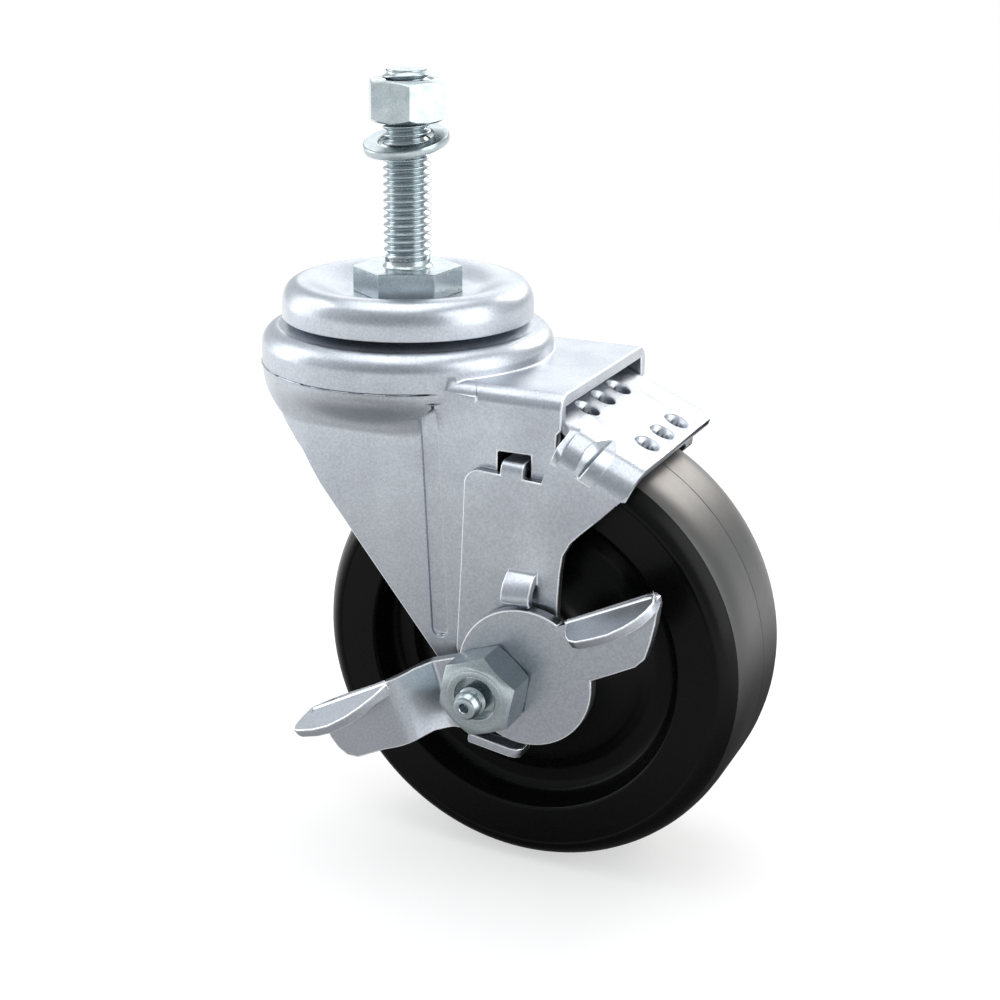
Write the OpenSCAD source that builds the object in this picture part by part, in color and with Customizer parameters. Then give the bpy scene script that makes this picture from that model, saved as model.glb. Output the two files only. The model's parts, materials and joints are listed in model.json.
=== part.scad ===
// Swivel castor with a threaded stem and a top-lock brake on a hard rubber wheel.
// The origin is on the stem's axis at the seat, the top of the hexagon.
// +Z runs up the stem, +X towards the wheel, and the brake lever is on the -Y side.

/* [Wheel] */
// Diameter of the wheel over its tread
wheel_d = 88.9; // [86:0.1:90]
// Width of the tread
wheel_w = 31.75; // [30:0.05:32.5]
// Distance from the stem's axis to the axle
trail = 32; // [31:0.1:33]
// Gap between the hood's roof and the tread under it
hood_gap = 8.9; // [8.6:0.1:10]
// Radius of the arcs that round the tread towards the wheel's faces
tread_arc_r = 16; // [14:0.5:22]
// Radius of the corner between the tread and a face
tread_corner_r = 1.2; // [0.8:0.1:1.6]
// Radius of the fine moulded line in the rim's face
rim_line_r = 39.7; // [39:0.1:40.5]
// Radius where the rim ends and the recess in the side begins
rim_inner_r = 32; // [31:0.1:34]
// Radius of the fillet at the foot of the rim, in the recess
recess_fillet_r = 2.4; // [2:0.1:3]
// Radius of the hub boss where it meets the recess
hub_r = 24; // [22:0.1:25]
// Radius of the hub's flat end
hub_end_r = 14.5; // [14:0.1:16]
// Thickness of the wheel's web between the two recesses
web_t = 20; // [16:0.5:22]
// Length of the hub along the axle
hub_len = 38; // [37:0.1:38.4]

/* [Stem] */
// Outer diameter of the stem's thread
thread_d = 9.4; // [9:0.1:9.5]
// Length of the thread above the seat
stem_len = 38.1; // [36:0.1:42]
// Depth of the chamfer at the stem's end
stem_chamfer = 0.9; // [0.5:0.1:1.2]
// Width across flats of the stem's hexagon
hex_af = 18.8; // [18.4:0.1:19.1]
// Height of the stem's hexagon
hex_h = 5.2; // [5:0.1:5.6]
// Diameter of the pin below the hexagon
pin_d = 12.7; // [12:0.1:13]
// Width across flats of the stem's nut
nut_af = 14.1; // [14:0.1:14.4]
// Height of the stem's nut
nut_h = 8.1; // [7.8:0.1:8.6]
// Distance from the stem's end down to the nut's foot
nut_drop = 9.9; // [9:0.1:12]
// Outer diameter of the lock washer
lock_od = 17.0; // [16.6:0.1:17.4]
// Inner diameter of the lock washer
lock_id = 10.8; // [10.7:0.1:11.2]
// Thickness of the lock washer
lock_t = 1.7; // [1.5:0.1:1.9]
// Tilt of the loose lock washer
lock_tilt = 14; // [12:0.5:14.5]

/* [Swivel bearing] */
// Outer diameter of the top cap
cap_d = 50.2; // [50:0.1:51]
// Thickness of the top cap
cap_t = 2.6; // [2.5:0.1:2.7]
// Height of the cap's rounded top above its dish
cap_rise = 3.3; // [3:0.1:3.6]
// Radius of the cap's rounded shoulder
cap_shoulder_r = 5.2; // [5:0.1:5.4]
// Length of the cap's straight skirt
cap_skirt = 2.6; // [2.4:0.1:2.8]
// Radius of the flat floor in the cap's dish
dish_r = 12.6; // [12:0.1:13]
// Diameter of the upper balls
upper_ball_d = 6.3; // [6.2:0.05:6.35]
// Number of upper balls
upper_balls_n = 18; // [12:1:18]
// Diameter of the lower balls
lower_ball_d = 4.75; // [4.6:0.05:4.8]
// Number of lower balls
lower_balls_n = 14; // [10:1:15]
// Radius of the circle on which the lower balls run
lower_pitch_r = 12; // [11.8:0.1:12.2]
// Clearance of a ball in its raceway
ball_gap = 0.05; // [0.03:0.01:0.08]
// Depth of the lower raceway in the fork's crown
race_depth = 0.8; // [0.5:0.1:1]

/* [Fork] */
// Thickness of the fork's sheet
fork_t = 2.4; // [2.2:0.1:2.5]
// Outer diameter of the fork's bowl
bowl_d = 58.4; // [58:0.1:59]
// Radius of the bowl's upper shoulder
bowl_shoulder_r = 3.8; // [3.4:0.1:4.2]
// Play between a leg and its thrust washer
side_play = 0.2; // [0.15:0.05:0.4]
// Depth of the hood's roof below the seat
roof_drop = 16.3; // [16:0.1:16.6]
// Reach of the hood in front of the stem's axis
hood_reach = 42.4; // [42:0.1:43]
// Outer radius of the hood's folds
hood_fold_r = 3.2; // [3:0.1:3.6]
// Radius of the leg's round end about the axle
leg_end_r = 11.5; // [11:0.1:12]
// Width of the pressed groove down each leg
groove_w = 3.4; // [3:0.1:4]
// Depth of the pressed groove
groove_depth = 0.6; // [0.4:0.05:0.8]

/* [Brake] */
// Thickness of the brake shoe's sheet
shoe_t = 2.0; // [1.9:0.05:2.1]
// Gap between a leg and the shoe's cheek
shoe_gap = 0.15; // [0.12:0.01:0.2]
// Slope of the shoe's web, in degrees below level
web_slope = 24; // [23.5:0.25:24.5]
// Outer radius of the shoe's folds
shoe_fold_r = 6; // [5:0.5:7]
// Height of the pressed teeth below the web
tooth_h = 1; // [0.6:0.05:1.05]
// Radius of the opening in a tooth
tooth_r = 1.9; // [1.7:0.1:2.1]
// Spacing of the teeth across the web
tooth_pitch = 8.3; // [8:0.1:9]
// How far the shoe drops when the brake is set
shoe_travel = 2.6; // [2.4:0.05:2.6]
// Thickness of the cam lever's plate
lever_t = 2.8; // [2.6:0.1:3]
// Radius of the lever's cam disc
cam_r = 13.6; // [13.4:0.1:13.8]
// Forward offset of the disc's centre from the axle
cam_x = 6.3; // [6.1:0.1:6.5]
// Upward offset of the disc's centre from the axle
cam_z = 2.0; // [1.9:0.1:2.1]
// Outward offset of the cranked arm
crank_out = 7; // [6.5:0.1:7.5]
// Angle of the two bends in the cranked arm
crank_angle = 50; // [45:1:55]
// Bend radius of the crank at the middle of the sheet
crank_r = 2.8; // [2.4:0.1:3.2]

/* [Axle] */
// Diameter of the axle
axle_d = 9.52; // [9.4:0.02:9.6]
// Width across flats of the axle's nut and head
axle_af = 14.2; // [14:0.1:14.3]
// Height of the axle's nut
axle_nut_h = 8.3; // [8:0.1:8.6]
// Height of the axle's head
axle_head_h = 6; // [5.6:0.1:6.4]
// Outer diameter of the spanner bushing
bushing_d = 12.7; // [12.6:0.1:12.8]
// Diameter of the bearing's rollers
roller_d = 4.4; // [4.3:0.05:4.5]
// Number of rollers
rollers_n = 9; // [7:1:10]
// Wall of the bearing's outer sleeve
sleeve_t = 1.4; // [1.2:0.1:1.6]
// Thickness of each thrust washer
thrust_t = 0.8; // [0.7:0.05:0.85]

/* [Hidden] */

$fn = 64;
// A cut reaches this far past the face that it opens
over = 1;
// Clearance between pieces that turn or slide on each other
run_gap = 0.05;
zinc = "lightsteelblue";

// Wheel and axle
wheel_r = wheel_d / 2;
axle_z = -(roof_drop + fork_t + hood_gap + wheel_r);
axle_r = axle_d / 2;
bushing_r = bushing_d / 2;
roller_pitch_r = bushing_r + roller_d / 2 + run_gap;
sleeve_inner_r = roller_pitch_r + roller_d / 2 + run_gap;
sleeve_outer_r = sleeve_inner_r + sleeve_t;
tread_flat = wheel_w * 0.24;

// Stem and swivel bearing
thread_r = thread_d / 2;
pin_r = pin_d / 2;
dish_z = -hex_h;
cap_r = cap_d / 2;
cap_top_z = dish_z + cap_rise;
nut_z = stem_len - nut_drop;
cap_turn_r = cap_r - cap_shoulder_r;
cap_turn_z = cap_top_z - cap_shoulder_r;
cap_rim_z = cap_turn_z - cap_skirt;
upper_ball_r = upper_ball_d / 2;
upper_race_r = upper_ball_r + ball_gap;
upper_pitch_r = cap_r - cap_t - upper_race_r;
upper_ball_z = cap_top_z - cap_t - upper_race_r;
crown_top_z = upper_ball_z - upper_race_r;
lower_ball_r = lower_ball_d / 2;
lower_race_r = lower_ball_r + ball_gap;
hub_plate_z = crown_top_z + 1.3;
lower_ball_z = hub_plate_z - fork_t - lower_ball_r + race_depth;
race_floor_z = lower_ball_z - lower_ball_r - 1.9;
rivet_h = 2.3;

// Fork
bowl_r = bowl_d / 2;
leg_y = hub_len / 2 + thrust_t + side_play + fork_t;
lip_z = cap_rim_z - 1.6;
bowl_turn_r = bowl_r - bowl_shoulder_r;
bowl_turn_z = lip_z - bowl_shoulder_r;
roof_z = -roof_drop;
ledge_z = roof_z - fork_t;
// The blend from the bowl's wall to the legs: its height, inward curl, top and sharpness
blend_h = 9;
blend_curl = 3.2;
blend_top = ledge_z - 0.8;
blend_power = 24;
// The leg's front edge, from the bowl down to where it runs straight to the axle
leg_front = [[-bowl_r - over, ledge_z - 7.4], [-26, ledge_z - 8.3], [-20.6, ledge_z - 9.6],
    [-16.4, ledge_z - 11.6], [-12.7, ledge_z - 14.8], [-8.3, ledge_z - 21.5]];
leg_back_x = hood_reach - 0.9;
groove_top = [15.4, -21.5];
groove_foot = [17.8, -66];

// Brake shoe, its web's middle line and its teeth
cheek_in = leg_y + shoe_gap;
cheek_out = cheek_in + shoe_t;
web_top = [37.2, ledge_z - 1.1];
web_run = 20.7;
tooth_rows = [5.3, 18.5];
web_in = leg_y - fork_t - 0.4;
cheek_corner_r = 3;
web_corner_r = 6;
tongue_x = [31.3, 35.9];
lance_x = [33.2, 39];
window_x = [29.8, 36.6];
window_z = [-36.4, -28.2];
slot_half = shoe_travel + 0.3;

// Outlines are drawn for the standard wheel and grow with it
growth = wheel_d / 88.9;
// Points of the cheek: its left edge, its top-left corner, the edge up to the web, its right edge, its foot
cheek_left = [[-9.6, 4], [-8.7, 21.8]];
cheek_top = [[-8.1, -13], [7.5, -13.9], [12.3, -1.2]];
cheek_right = [[24.1, 39.2], [19.2, 34.2], [15.4, 30.6], [13.5, 28.6], [12.1, 26], [11.6, 22.5],
    [11.3, 18], [10.6, -4]];
cheek_foot = [[5.6, -13.2], [0.4, -13.2], [-6, -9]];
// The dart across the shoe's fold: where it starts on the cheek and where it ends on the web
dart_from = [14.7, -24.5, -12];
dart_to = [17.8, -13, -6.6];
dart_half_angle = 42;

// Cam lever, bushes and axle stack
bush_t = 1.1;
lever_in = cheek_out + bush_t + 0.1;
lever_out = lever_in + lever_t;
nut_in = lever_out + 0.1;
nut_out = nut_in + axle_nut_h;
far_washer_t = 1.2;
head_in = cheek_out + far_washer_t;
bush_r = 8.4;
boss_r = 9;
boss_h = 0.3;

function arc(c, r, from, to) =
    let (n = max(2, ceil(abs(to - from) / 9)))
    [for (i = [0:n]) let (a = from + (to - from) * i / n) c + r * [cos(a), sin(a)]];

function tangent_point(p, c, r, side) =
    let (d = norm(c - p), a = atan2(c[1] - p[1], c[0] - p[0]) + side * asin(r / d),
        len = sqrt(d * d - r * r))
    p + len * [cos(a), sin(a)];

// Tools: a hexagon about Z, and a plate drawn in X and Z and given its place in Y
module hexagon(af, h) {
    cylinder(h = h, r = af / sqrt(3), $fn = 6);
}

module chamfered_hexagon(af, h, both) {
    // A hexagon trimmed by a cone, as a turned nut or head is
    cone = af / 2 - 0.2;
    reach = af / sqrt(3);
    slope = 0.5;
    drop = (reach - cone) * slope;
    intersection() {
        hexagon(af, h);
        rotate_extrude()
            polygon([[0, 0], [both ? cone : reach, 0], [reach, both ? drop : 0],
                [reach, h - drop], [cone, h], [0, h]]);
    }
}

module side_plate(y0, y1) {
    translate([0, y1, 0]) rotate([90, 0, 0]) linear_extrude(height = y1 - y0) children();
}

module on_axle() {
    translate([trail, 0, axle_z]) rotate([90, 0, 0]) children();
}

module tube(r_out, r_in, y0, y1) {
    // A tube on the axle's line between two places in Y
    on_axle() translate([0, 0, -y1]) difference() {
        cylinder(h = y1 - y0, r = r_out);
        translate([0, 0, -over]) cylinder(h = y1 - y0 + 2 * over, r = r_in);
    }
}

module ball_ring(count, pitch_r, ball_r) {
    for (i = [0:count - 1])
        rotate([0, 0, i * 360 / count]) translate([pitch_r, 0, 0]) sphere(r = ball_r, $fn = 24);
}

// Stem, its nut and its washer
module threaded_stem() {
    color(zinc) {
        rotate_extrude()
            polygon([[0, 0], [thread_r, 0], [thread_r, stem_len - stem_chamfer],
                [thread_r - stem_chamfer, stem_len], [2.2, stem_len], [0, stem_len - 0.35]]);
        rotate([0, 0, 25]) translate([0, 0, -hex_h]) chamfered_hexagon(hex_af, hex_h, false);
        // The pin is upset below the lower race, which holds the swivel together
        translate([0, 0, race_floor_z]) cylinder(h = -hex_h - race_floor_z, r = pin_r);
        rotate_extrude()
            polygon([[0, race_floor_z - rivet_h], [pin_r, race_floor_z - rivet_h],
                [pin_r + 2.2, race_floor_z - 0.6], [pin_r + 2.2, race_floor_z], [0, race_floor_z]]);
    }
}

module stem_nut() {
    color(zinc) translate([0, 0, nut_z]) rotate([0, 0, 1]) difference() {
        chamfered_hexagon(nut_af, nut_h, true);
        translate([0, 0, -over]) cylinder(h = nut_h + 2 * over, r = thread_r + run_gap);
        for (end = [0, 1]) translate([0, 0, end * nut_h]) mirror([0, 0, end])
            translate([0, 0, -0.01]) cylinder(h = 0.7, r1 = thread_r + 0.7, r2 = thread_r);
    }
}

module lock_washer() {
    // A split ring whose ends stand apart, hanging askew on the stem
    split_w = 1.2;
    color(zinc) translate([0, 0, nut_z - 4.7]) rotate([0, 0, -11.6]) rotate([lock_tilt, 0, 0])
        difference() {
            cylinder(h = lock_t, r = lock_od / 2);
            translate([0, 0, -over]) cylinder(h = lock_t + 2 * over, r = lock_id / 2);
            rotate([0, 0, 118]) translate([0, -split_w / 2, -over])
                cube([lock_od, split_w, lock_t + 2 * over]);
        }
}

// Swivel bearing
module top_cap() {
    // One pressing: a flat floor, a soft dish, a rounded shoulder over the balls and a skirt
    under = dish_z - cap_t;
    inner_r = upper_pitch_r - upper_race_r;
    turn = [cap_turn_r, cap_turn_z];
    color(zinc) rotate_extrude() polygon(concat(
        [[pin_r, under], [pin_r, dish_z], [dish_r, dish_z], [dish_r + 1.4, dish_z + 0.25],
            [dish_r + 2.6, dish_z + 0.9], [cap_turn_r - 2.6, cap_top_z - 0.85]],
        arc(turn, cap_shoulder_r, 115, 0),
        [[cap_r, cap_rim_z], [cap_r - cap_t, cap_rim_z]],
        arc([upper_pitch_r, upper_ball_z], upper_race_r, 0, 180),
        [[inner_r, under]]));
}

module upper_balls() {
    color("gainsboro") translate([0, 0, upper_ball_z])
        ball_ring(upper_balls_n, upper_pitch_r, upper_ball_r);
}

module lower_balls() {
    color("gainsboro") translate([0, 0, lower_ball_z])
        ball_ring(lower_balls_n, lower_pitch_r, lower_ball_r);
}

module lower_race() {
    // A turned cup, clamped on the pin, with the lower balls' groove in its top
    color(zinc) rotate_extrude() difference() {
        translate([pin_r, race_floor_z])
            square([lower_pitch_r + lower_race_r + 1.4 - pin_r, lower_ball_z - 0.5 - race_floor_z]);
        translate([lower_pitch_r, lower_ball_z]) circle(r = lower_race_r);
    }
}

// Fork: the bowl's round wall turns into the two flat legs through a soft S-shaped blend.
// Distance of the outline from the stem's axis at angle a, for a share of the way from bowl to leg
function fork_reach(a, share, r, y) =
    let (flat = y / max(abs(sin(a)), 0.05), soft = pow(pow(r, -blend_power) + pow(flat, -blend_power), -1 / blend_power))
    cos(a) > 0 ? max(flat, (1 - share) * r + share * flat) : (1 - share) * r + share * soft;

function fork_outline(t, inset) =
    let (share = t * t * (3 - 2 * t), r = bowl_r - 0.05 - blend_curl * t * t - inset, y = leg_y - inset,
        a0 = asin(y / (bowl_r - inset)), n = 36)
    concat([for (i = [0:n]) let (a = a0 + (360 - 2 * a0) * i / n) fork_reach(a, share, r, y) * [cos(a), sin(a)]],
        [[hood_reach + inset, -y], [hood_reach + inset, y]]);

module fork_blend(inset) {
    // A stack of outlines, from the bowl's wall down to the legs
    steps = 9;
    t_at = concat([0], [for (i = [0:steps]) i / steps], [1]);
    z_at = concat([ledge_z + (inset > 0 ? 0 : 0.5)], [for (i = [0:steps]) blend_top - blend_h * i / steps], [axle_z - 20 - inset]);
    rings = [for (t = t_at) fork_outline(t, inset)];
    n = len(rings[0]);
    m = len(rings);
    points = concat([for (k = [0:m - 1]) for (q = rings[k]) [q[0], q[1], z_at[k]]],
        [[0, 0, z_at[0]], [0, 0, z_at[m - 1]]]);
    walls = [for (k = [0:m - 2]) for (i = [0:n - 1]) let (a = k * n + i, b = k * n + (i + 1) % n)
        each [[a, b, a + n], [b, b + n, a + n]]];
    top = [for (i = [0:n - 1]) [(i + 1) % n, i, m * n]];
    foot = [for (i = [0:n - 1]) [(m - 1) * n + i, (m - 1) * n + (i + 1) % n, m * n + 1]];
    polyhedron(points, concat(top, walls, foot));
}

module leg_profile() {
    // Side view of the legs below the bowl, drawn in X and Z
    axle = [trail, axle_z];
    start = leg_front[len(leg_front) - 1];
    front_foot = tangent_point(start, axle, leg_end_r, -1);
    polygon(concat(leg_front, [front_foot, axle, [leg_back_x, axle_z + 5],
        [leg_back_x, ledge_z - 5], [hood_reach, ledge_z - 4], [hood_reach, roof_z + over],
        [-bowl_r - over, roof_z + over]]));
    translate(axle) circle(r = leg_end_r);
}

module bowl_solid() {
    // The crown and the bowl, filled, with the upper balls' groove in its top
    rotate_extrude($fn = 128) difference() {
        union() {
            translate([0, ledge_z]) square([bowl_r, bowl_turn_z - ledge_z]);
            translate([bowl_turn_r, bowl_turn_z]) circle(r = bowl_shoulder_r);
            polygon([[0, bowl_turn_z], [0, hub_plate_z], [upper_pitch_r - upper_race_r, hub_plate_z],
                [upper_pitch_r + upper_race_r - 0.6, upper_ball_z - upper_ball_r + 1.1],
                [bowl_turn_r, lip_z], [bowl_turn_r, bowl_turn_z]]);
        }
        translate([upper_pitch_r, upper_ball_z]) circle(r = upper_race_r);
    }
}

module bowl_hollow() {
    // The space under the crown, one sheet inside the bowl
    inner_r = bowl_r - fork_t;
    under = crown_top_z - fork_t;
    rotate_extrude() {
        translate([0, ledge_z - 0.4]) square([inner_r, bowl_turn_z - ledge_z + 0.4]);
        polygon([[0, bowl_turn_z - over], [inner_r, bowl_turn_z - over], [inner_r, bowl_turn_z],
            [bowl_turn_r, under], [0, under]]);
        translate([0, under - over]) square([lower_pitch_r + lower_race_r + 1.8, hub_plate_z - fork_t - under + over]);
    }
}

module fold_cut(from) {
    // What the rounding of the hood's two upper edges takes away
    r = hood_fold_r;
    for (s = [-1, 1]) scale([1, s, 1]) translate([from, leg_y, roof_z]) rotate([90, 0, 90])
        linear_extrude(height = hood_reach + over - from) difference() {
            translate([-r, -r]) square(r + over);
            translate([-r, -r]) circle(r = r);
        }
}

module hood_solid() {
    // The box at the back of the bowl, with rounded folds along its two upper edges
    difference() {
        translate([0, -leg_y, ledge_z - 0.5]) cube([hood_reach, 2 * leg_y, fork_t + 0.5]);
        fold_cut(-over);
    }
}

module leg_grooves(w, y0, y1) {
    // A straight bead pressed into both legs, as a slot with round ends between two depths
    run = groove_foot - groove_top;
    for (s = [-1, 1]) side_plate(min(s * y0, s * y1), max(s * y0, s * y1))
        translate(groove_top) rotate(atan2(run[1], run[0])) {
            translate([0, -w / 2]) square([norm(run), w]);
            circle(r = w / 2);
            translate([norm(run), 0]) circle(r = w / 2);
        }
}

module fork() {
    color(zinc) difference() {
        union() {
            bowl_solid();
            hood_solid();
            difference() {
                intersection() {
                    fork_blend(0);
                    side_plate(-bowl_r - over, bowl_r + over) leg_profile();
                }
                fold_cut(bowl_turn_r);
            }
        }
        difference() {
            union() {
                bowl_hollow();
                fork_blend(fork_t);
            }
            leg_grooves(groove_w + 1.2, leg_y - fork_t - groove_depth, leg_y - fork_t + 0.5);
        }
        leg_grooves(groove_w, leg_y - groove_depth, leg_y + over);
        translate([0, 0, race_floor_z]) cylinder(h = -race_floor_z, r = pin_r + 1.2);
        translate([0, 0, lower_ball_z]) rotate_extrude() translate([lower_pitch_r, 0]) circle(r = lower_race_r);
        on_axle() translate([0, 0, -leg_y - over]) cylinder(h = 2 * leg_y + 2 * over, r = axle_r + run_gap);
        translate([window_x[0], -leg_y - over, window_z[0]])
            cube([window_x[1] - window_x[0], 2 * leg_y + 2 * over, window_z[1] - window_z[0]]);
    }
}

// Axle and what it carries
module axle_bolt() {
    // A hollow bolt: grease runs in from its end and out at the middle of the bearing
    grease_r = 1.3;
    stub = 3;
    color(zinc) on_axle() difference() {
        union() {
            translate([0, 0, -head_in]) cylinder(h = head_in + lever_out + 0.05, r = axle_r);
            translate([0, 0, lever_out]) cylinder(h = nut_out - 2.2 - lever_out, r = 4.2);
            translate([0, 0, -head_in]) mirror([0, 0, 1]) chamfered_hexagon(axle_af, axle_head_h, false);
        }
        translate([0, 0, -stub]) cylinder(h = nut_out + stub, r = grease_r);
        rotate([0, 90, 0]) cylinder(h = axle_r + over, r = grease_r);
    }
}

module axle_nut() {
    color(zinc) on_axle() translate([0, 0, nut_in]) rotate([0, 0, 20]) difference() {
        chamfered_hexagon(axle_af, axle_nut_h, true);
        translate([0, 0, -over]) cylinder(h = axle_nut_h + 2 * over, r = 4.2);
        translate([0, 0, axle_nut_h - 0.7]) cylinder(h = 0.72, r1 = 4.2, r2 = 4.9);
    }
}

module grease_fitting() {
    // A turned nipple screwed into the end of the axle
    base = nut_out - 2.2;
    color("silver") on_axle() translate([0, 0, base]) rotate_extrude()
        polygon([[0.7, 0], [2.8, 0], [2.8, 2.9], [2.5, 3.5], [2.25, 3.9], [2.3, 4.2], [2.75, 4.7],
            [2.8, 5.3], [2.5, 6.1], [1.8, 6.8], [0.9, 6.8], [0.7, 6.4]]);
}

module cam_bush() {
    // The stepped bush between the near cheek and the lever, on which the lever turns
    color(zinc) {
        tube(bush_r, axle_r + run_gap, -(cheek_out + bush_t), -cheek_out - 0.05);
        tube(axle_r + 1.2, axle_r + run_gap, -(lever_out + 0.05), -(cheek_out + bush_t));
    }
}

module far_washer() {
    color(zinc) tube(bush_r, axle_r + run_gap, cheek_out + 0.1, head_in);
}

module spanner_bushing() {
    color("silver") tube(bushing_r, axle_r + run_gap, -(leg_y - fork_t), leg_y - fork_t);
}

module thrust_washer(side) {
    y0 = side * (leg_y - fork_t - 0.05);
    y1 = side * (leg_y - fork_t - 0.05 - thrust_t);
    color("darkgoldenrod") tube(hub_end_r - 3.5, bushing_r + run_gap, min(y0, y1), max(y0, y1));
}

module near_thrust_washer() {
    thrust_washer(-1);
}

module far_thrust_washer() {
    thrust_washer(1);
}

// Half of the wheel's section, radius against distance from its middle plane
function wheel_side() =
    let (half = wheel_w / 2, floor_y = web_t / 2,
        tilt = asin((half - tread_corner_r - tread_flat) / (tread_arc_r - tread_corner_r)),
        corner = [wheel_r - tread_arc_r, tread_flat] + (tread_arc_r - tread_corner_r) * [cos(tilt), sin(tilt)],
        fillet = [rim_inner_r - 1 - recess_fillet_r, floor_y + recess_fillet_r])
    concat(
        arc([wheel_r - tread_arc_r, tread_flat], tread_arc_r, 0, tilt),
        arc(corner, tread_corner_r, tilt, 90),
        [[rim_line_r + 0.15, half], [rim_line_r, half - 0.15]],
        arc([rim_inner_r + 0.8, half - 0.95], 0.8, 90, 180),
        arc(fillet, recess_fillet_r, 0, -90),
        [[hub_r + 2.2, floor_y], [hub_r + 0.8, floor_y + 0.9], [hub_r, half - 5], [hub_r - 0.8, half - 4.2],
            [hub_r - 3, half - 3.6], [hub_end_r + 1.8, half - 1], [hub_end_r + 0.4, hub_len / 2 - 1.2],
            [hub_end_r - 0.4, hub_len / 2], [sleeve_outer_r, hub_len / 2]]);

module wheel() {
    side = wheel_side();
    last = len(side) - 1;
    color([0.07, 0.07, 0.075]) on_axle() rotate_extrude($fn = 128)
        polygon(concat(side, [for (i = [last:-1:0]) [side[i][0], -side[i][1]]]));
}

module bearing_sleeve() {
    color("silver") tube(sleeve_outer_r, sleeve_inner_r, -hub_len / 2, hub_len / 2);
}

module roller_places() {
    for (i = [0:rollers_n - 1]) rotate([0, 0, i * 360 / rollers_n]) translate([roller_pitch_r, 0, 0]) children();
}

module bearing_rollers() {
    roller_len = hub_len - 6;
    color("gainsboro") on_axle() roller_places()
        translate([0, 0, -roller_len / 2]) cylinder(h = roller_len, r = roller_d / 2, $fn = 24);
}

module bearing_cage() {
    cage_len = hub_len - 2;
    pocket_len = hub_len - 5.6;
    color("goldenrod") on_axle() difference() {
        translate([0, 0, -cage_len / 2]) cylinder(h = cage_len, r = roller_pitch_r + 0.8);
        translate([0, 0, -cage_len]) cylinder(h = 2 * cage_len, r = roller_pitch_r - 0.8);
        roller_places() translate([0, 0, -pocket_len / 2])
            cylinder(h = pocket_len, r = roller_d / 2 + run_gap, $fn = 24);
    }
}

// Brake shoe: a folded sheet with a toothed web over the tread and a cheek outside each leg.
// Places in X and Z, from the axle and from the underside of the hood's roof
function from_axle(p) = [trail, axle_z] + growth * p;
function from_roof(p) = [trail, ledge_z] + growth * p;

module cheek_profile() {
    corner = from_roof(cheek_top[0]);
    r = cheek_corner_r;
    web_end = web_top + web_run * [1, -tan(web_slope)];
    difference() {
        union() {
            polygon(concat([for (p = cheek_left) from_axle(p)],
                [corner - [0, r], corner + [r, 0], from_roof(cheek_top[1]), from_roof(cheek_top[2]), web_end],
                [for (p = cheek_right) from_axle(p)], [for (p = cheek_foot) from_axle(p)]));
            translate(corner + [r, -r]) circle(r = r);
        }
        for (z = [-slot_half, slot_half]) translate([trail, axle_z + z]) circle(r = axle_r + 0.15);
        translate([trail - axle_r - 0.15, axle_z - slot_half]) square([2 * axle_r + 0.3, 2 * slot_half]);
    }
}

module on_web() {
    // Places its children with X down the web's slope and Z square to it
    translate([web_top[0], 0, web_top[1]]) rotate([0, web_slope, 0]) children();
}

module shoe_channel(inset, reach) {
    // The folded section, run along the slope of the web
    half = cheek_out - inset;
    r = shoe_fold_r - inset;
    on_web() translate([-reach, 0, 0]) rotate([90, 0, 90])
        linear_extrude(height = web_run / cos(web_slope) + 2 * reach)
            polygon(concat([[half, -40], [-half, -40]], arc([r - half, -inset - r], r, 180, 90),
                arc([half - r, -inset - r], r, 90, 0)));
}

module hood_room() {
    // Inside the hood the web keeps clear of the walls
    low = from_roof(cheek_top[1]);
    high = from_roof(cheek_top[2]);
    slant = (high - low) / (high[1] - low[1]);
    for (s = [-1, 1]) side_plate(min(s * web_in, s * 40), max(s * web_in, s * 40))
        polygon([low - 30 * slant, high + 10 * slant, [0, high[1] + 10], [0, low[1] - 30]]);
}

module dart(depth) {
    // A V pressed into each fold, its foot on a straight line from the cheek to the web
    from = [from_roof([dart_from[0], 0])[0], -cheek_out, from_roof([0, dart_from[2]])[1]];
    to = [from_roof([dart_to[0], 0])[0], dart_to[1], from_roof([0, dart_to[2]])[1]];
    run = to - from;
    open = 10;
    for (s = [-1, 1]) scale([1, s, 1]) translate(from)
        rotate([0, acos(run[2] / norm(run)), atan2(run[1], run[0])]) translate([0, 0, -3])
            linear_extrude(height = norm(run) + 6)
                polygon([[depth, 0], [-open, (open + depth) * tan(dart_half_angle)],
                    [-open, -(open + depth) * tan(dart_half_angle)]]);
}

module shoe_plan() {
    // Seen from above, the web's outer corners are round
    x = web_top[0] + web_run + 0.2;
    half = cheek_out;
    r = web_corner_r;
    translate([0, 0, axle_z - wheel_r]) linear_extrude(height = wheel_r - axle_z)
        polygon(concat([[0, half + over], [0, -half - over], [x - r, -half - over]],
            arc([x - r, r - half], r, -90, 0), arc([x - r, half - r], r, 0, 90), [[x - r, half + over]]));
}

module shoe_sheet() {
    difference() {
        intersection() {
            shoe_channel(0, over);
            side_plate(-cheek_out, cheek_out) union() {
                cheek_profile();
                translate(web_top) rotate(-web_slope) translate([0, -shoe_fold_r - 0.01])
                    square([web_run / cos(web_slope), shoe_fold_r + 0.01]);
            }
        }
        difference() {
            shoe_channel(shoe_t, 2 * over);
            dart(2.6);
        }
        dart(0);
        hood_room();
    }
}

module lanced_tab() {
    // A tab pushed outward from the near cheek, above the cam disc
    y = -cheek_out;
    z = axle_z + cam_z + cam_r + 0.35;
    translate([lance_x[0], 0, 0]) rotate([90, 0, 90]) linear_extrude(height = lance_x[1] - lance_x[0])
        polygon([[y + 0.4, z + 6.2], [y - 1.2, z + 5.4], [y - 2.7, z + 4.1], [y - 3.6, z + 2.6], [y - 3.9, z + 1.1],
            [y - 3.5, z], [y - 1.7, z], [y - 1.9, z + 1.2], [y - 1.5, z + 2.4], [y - 0.6, z + 3.4], [y + 0.4, z + 4]]);
}

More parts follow.
